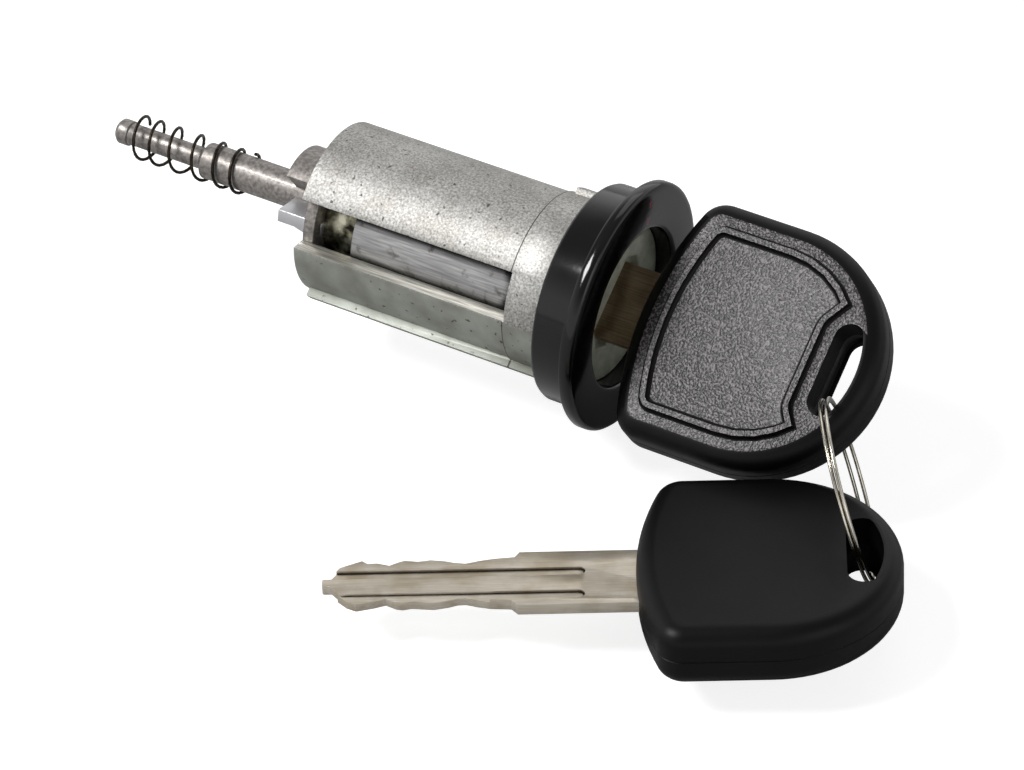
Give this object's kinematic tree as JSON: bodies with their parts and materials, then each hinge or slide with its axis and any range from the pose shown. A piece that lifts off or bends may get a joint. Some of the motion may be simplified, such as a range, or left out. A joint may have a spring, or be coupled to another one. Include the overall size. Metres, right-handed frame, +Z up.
{
  "type": "ignition switch",
  "caption": "Car ignition lock barrel with a flanged black bezel, a turning wafer plug, a sprung drive rod, its key, and a spare key on a split ring.",
  "frame": {"origin": "on the barrel's axis, in the plane of the flange's rear face, where the bezel seats on the column cowl", "axes": "+X runs along the barrel's axis towards the key, +Z is up and +Y completes the right-handed frame"},
  "size_m": [0.131, 0.0729, 0.0359],
  "materials": {
    "zinc_casting": "satin",
    "black_bezel": "gloss",
    "pin_steel": "satin",
    "plug_zinc": "satin",
    "face_moulding": "satin",
    "coupling_brass": "satin",
    "driver_zinc": "satin",
    "stop_steel": "bright",
    "spring_wire": "oiled",
    "blade_nickel": "satin",
    "head_plastic": "satin",
    "ring_steel": "polished",
    "wafer_brass": "satin",
    "wafer_spring_steel": "satin"
  },
  "bodies": {
    "barrel": {"housing": "zinc_casting", "bezel": "black_bezel", "retaining_pin": "pin_steel"},
    "rotor": {"plug": "plug_zinc", "plug_face": "face_moulding", "coupling": "coupling_brass", "driver": "driver_zinc", "stop_key": "stop_steel", "rod_spring": "spring_wire", "wafer_1": "wafer_brass", "wafer_2": "wafer_brass", "wafer_3": "wafer_brass", "wafer_4": "wafer_brass", "wafer_5": "wafer_brass", "wafer_6": "wafer_brass", "wafer_7": "wafer_brass", "wafer_8": "wafer_brass", "wafer_spring_1": "wafer_spring_steel", "wafer_spring_2": "wafer_spring_steel", "wafer_spring_3": "wafer_spring_steel", "wafer_spring_4": "wafer_spring_steel", "wafer_spring_5": "wafer_spring_steel", "wafer_spring_6": "wafer_spring_steel", "wafer_spring_7": "wafer_spring_steel", "wafer_spring_8": "wafer_spring_steel"},
    "key": {"key_blade": "blade_nickel", "key_head_front": "head_plastic", "key_head_back": "head_plastic"},
    "ring": {"split_ring": "ring_steel"},
    "spare_key": {"spare_blade": "blade_nickel", "spare_head_front": "head_plastic", "spare_head_back": "head_plastic"}
  },
  "joints": [
    {"name": "key_turn", "type": "hinge", "parent": "barrel", "child": "rotor", "pos_m": [0, 0, 0], "axis": [-1, 0, 0], "range_deg": [0, 110]},
    {"name": "key_slide", "type": "slide", "parent": "rotor", "child": "key", "axis": [1, 0, 0], "range_m": [0, 0.042]},
    {"name": "ring_swing", "type": "hinge", "parent": "key", "child": "ring", "pos_m": [0.03259, -0.00324, -0.00219], "axis": [0, -0.5592, 0.829], "range_deg": [0, 100]},
    {"name": "spare_swing", "type": "hinge", "parent": "ring", "child": "spare_key", "pos_m": [0.03967, -0.01192, -0.00678], "axis": [-0.8109, -0.5103, -0.2864], "range_deg": [0, 70]}
  ]
}
